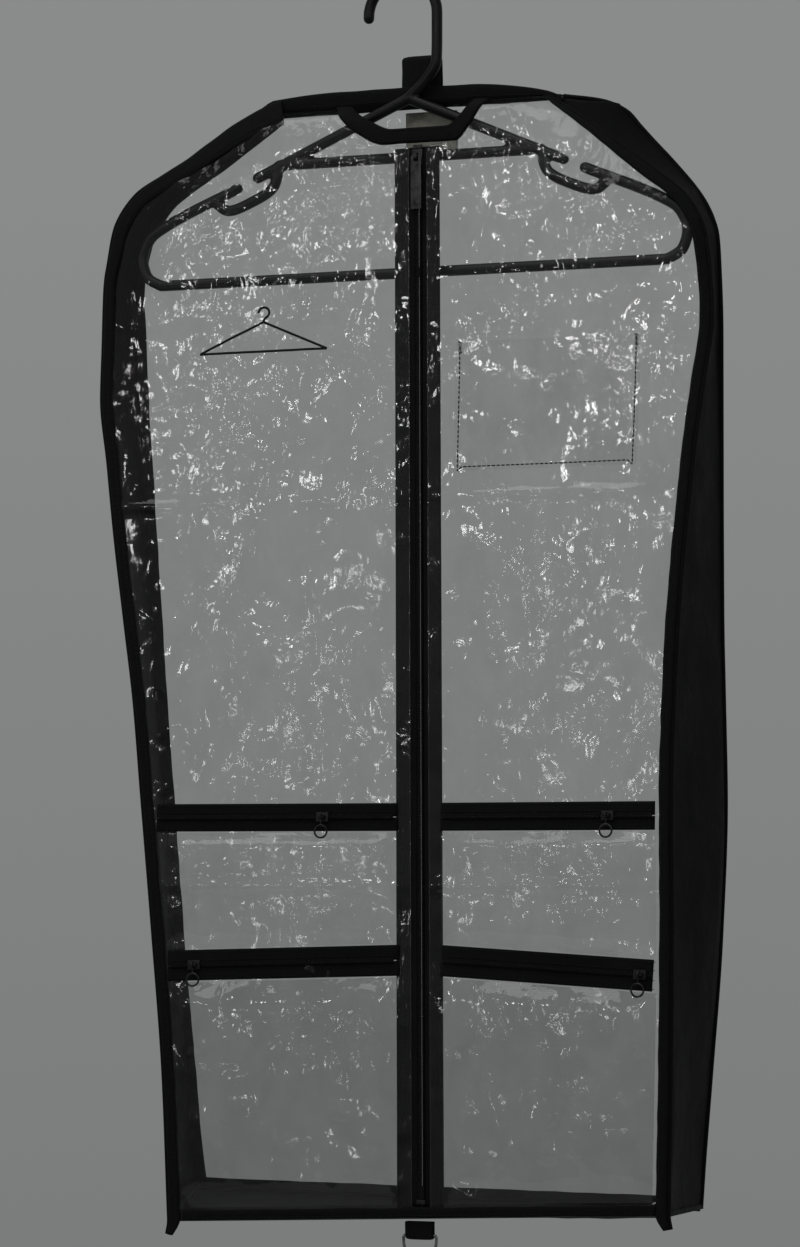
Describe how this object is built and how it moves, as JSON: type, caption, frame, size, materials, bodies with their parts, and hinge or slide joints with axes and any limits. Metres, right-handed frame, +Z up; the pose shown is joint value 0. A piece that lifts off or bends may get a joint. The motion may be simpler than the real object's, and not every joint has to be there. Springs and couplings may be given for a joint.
{
  "type": "garment bag",
  "caption": "Clear gusseted garment bag with black binding, centre zip and zipped pockets, hanging on a moulded hanger.",
  "frame": {"origin": "the point inside the hanger's hook that rests on the rail, above the hanger's neck", "axes": "+Z up, +Y towards the back of the bag, +X to the right as seen from the zip side"},
  "size_m": [0.4658, 0.1057, 0.9349],
  "materials": {
    "hanger_plastic": "satin moulded black",
    "clear_film": "clear crinkled vinyl film",
    "gusset_nylon": "black plain-weave nylon",
    "binding_webbing": "black ribbed binding tape",
    "zip_tape": "black woven zip tape",
    "zip_coil": "black nylon coil",
    "slider_metal": "black enamelled",
    "pull_metal": "dark plated",
    "ring_steel": "dull nickel",
    "label_fabric": "blank woven label"
  },
  "bodies": {
    "hanger": {"hanger": "hanger_plastic"},
    "bag": {"front_film_left": "clear_film", "front_film_right": "clear_film", "back_film": "clear_film", "gusset_left": "gusset_nylon", "gusset_right": "gusset_nylon", "gusset_top": "gusset_nylon", "gusset_bottom": "gusset_nylon", "front_binding_left": "binding_webbing", "front_binding_right": "binding_webbing", "top_binding": "binding_webbing", "bottom_binding": "binding_webbing", "back_binding_left": "binding_webbing", "back_binding_right": "binding_webbing", "back_binding_top": "binding_webbing", "back_binding_bottom": "binding_webbing", "opening_trim": "binding_webbing", "zip_tape_left": "zip_tape", "zip_tape_right": "zip_tape", "zip_coil_left": "zip_coil", "zip_coil_right": "zip_coil", "zip_top_stop": "slider_metal", "zip_bottom_stop": "slider_metal", "card_pocket": "clear_film", "hang_loop": "binding_webbing", "care_label": "label_fabric", "bottom_tab": "binding_webbing", "upper_pocket_left_tape_top": "zip_tape", "upper_pocket_left_tape_bottom": "zip_tape", "upper_pocket_left_coil": "zip_coil", "upper_pocket_left_film": "clear_film", "upper_pocket_right_tape_top": "zip_tape", "upper_pocket_right_tape_bottom": "zip_tape", "upper_pocket_right_coil": "zip_coil", "upper_pocket_right_film": "clear_film", "lower_pocket_left_tape_top": "zip_tape", "lower_pocket_left_tape_bottom": "zip_tape", "lower_pocket_left_coil": "zip_coil", "lower_pocket_left_film": "clear_film", "lower_pocket_right_tape_top": "zip_tape", "lower_pocket_right_tape_bottom": "zip_tape", "lower_pocket_right_coil": "zip_coil", "lower_pocket_right_film": "clear_film"},
    "main_slider": {"main_slider": "slider_metal"},
    "main_pull": {"main_pull": "pull_metal"},
    "upper_pocket_left_slider": {"upper_pocket_left_slider": "slider_metal"},
    "upper_pocket_left_pull": {"upper_pocket_left_pull": "pull_metal"},
    "upper_pocket_right_slider": {"upper_pocket_right_slider": "slider_metal"},
    "upper_pocket_right_pull": {"upper_pocket_right_pull": "pull_metal"},
    "lower_pocket_left_slider": {"lower_pocket_left_slider": "slider_metal"},
    "lower_pocket_left_pull": {"lower_pocket_left_pull": "pull_metal"},
    "lower_pocket_right_slider": {"lower_pocket_right_slider": "slider_metal"},
    "lower_pocket_right_pull": {"lower_pocket_right_pull": "pull_metal"},
    "bottom_ring": {"bottom_ring": "ring_steel"}
  },
  "joints": [
    {"name": "bag_lift", "type": "slide", "parent": "hanger", "child": "bag", "axis": [0, 0, 1], "range_m": [0, 0.03]},
    {"name": "main_zip_slide", "type": "slide", "parent": "bag", "child": "main_slider", "axis": [0.0268, -0.0768, -0.9967], "range_m": [0, 0.7474]},
    {"name": "main_pull_swing", "type": "hinge", "parent": "main_slider", "child": "main_pull", "pos_m": [0.01088, -0.01688, -0.13195], "axis": [-0.9996, -0.0021, -0.0267], "range_deg": [0, 170]},
    {"name": "upper_pocket_left_slide", "type": "slide", "parent": "bag", "child": "upper_pocket_left_slider", "axis": [0.9984, 0.0558, 0], "range_m": [-0.1183, 0.0477]},
    {"name": "upper_pocket_left_pull_swing", "type": "hinge", "parent": "upper_pocket_left_slider", "child": "upper_pocket_left_pull", "pos_m": [-0.04658, -0.06146, -0.61494], "axis": [-0.9984, -0.0558, 0], "range_deg": [0, 170]},
    {"name": "upper_pocket_right_slide", "type": "slide", "parent": "bag", "child": "upper_pocket_right_slider", "axis": [0.9957, -0.0925, 0], "range_m": [-0.1194, 0.0276]},
    {"name": "upper_pocket_right_pull_swing", "type": "hinge", "parent": "upper_pocket_right_slider", "child": "upper_pocket_right_pull", "pos_m": [0.16531, -0.07068, -0.61512], "axis": [-0.9957, 0.0925, 0], "range_deg": [0, 170]},
    {"name": "lower_pocket_left_slide", "type": "slide", "parent": "bag", "child": "lower_pocket_left_slider", "axis": [0.9983, 0.0512, 0.0293], "range_m": [-0.0136, 0.1435]},
    {"name": "lower_pocket_left_pull_swing", "type": "hinge", "parent": "lower_pocket_left_slider", "child": "lower_pocket_left_pull", "pos_m": [-0.1396, -0.07384, -0.72092], "axis": [-0.9983, -0.0512, -0.0293], "range_deg": [0, 170]},
    {"name": "lower_pocket_right_slide", "type": "slide", "parent": "bag", "child": "lower_pocket_right_slider", "axis": [0.996, -0.0692, -0.0568], "range_m": [-0.1406, 0.0042]},
    {"name": "lower_pocket_right_pull_swing", "type": "hinge", "parent": "lower_pocket_right_slider", "child": "lower_pocket_right_pull", "pos_m": [0.18939, -0.07664, -0.725], "axis": [-0.996, 0.0692, 0.0568], "range_deg": [0, 170]},
    {"name": "bottom_ring_swing", "type": "hinge", "parent": "bag", "child": "bottom_ring", "pos_m": [0.029, -0.0667, -0.9085], "axis": [1, 0, 0], "range_deg": [-90, 90]}
  ]
}
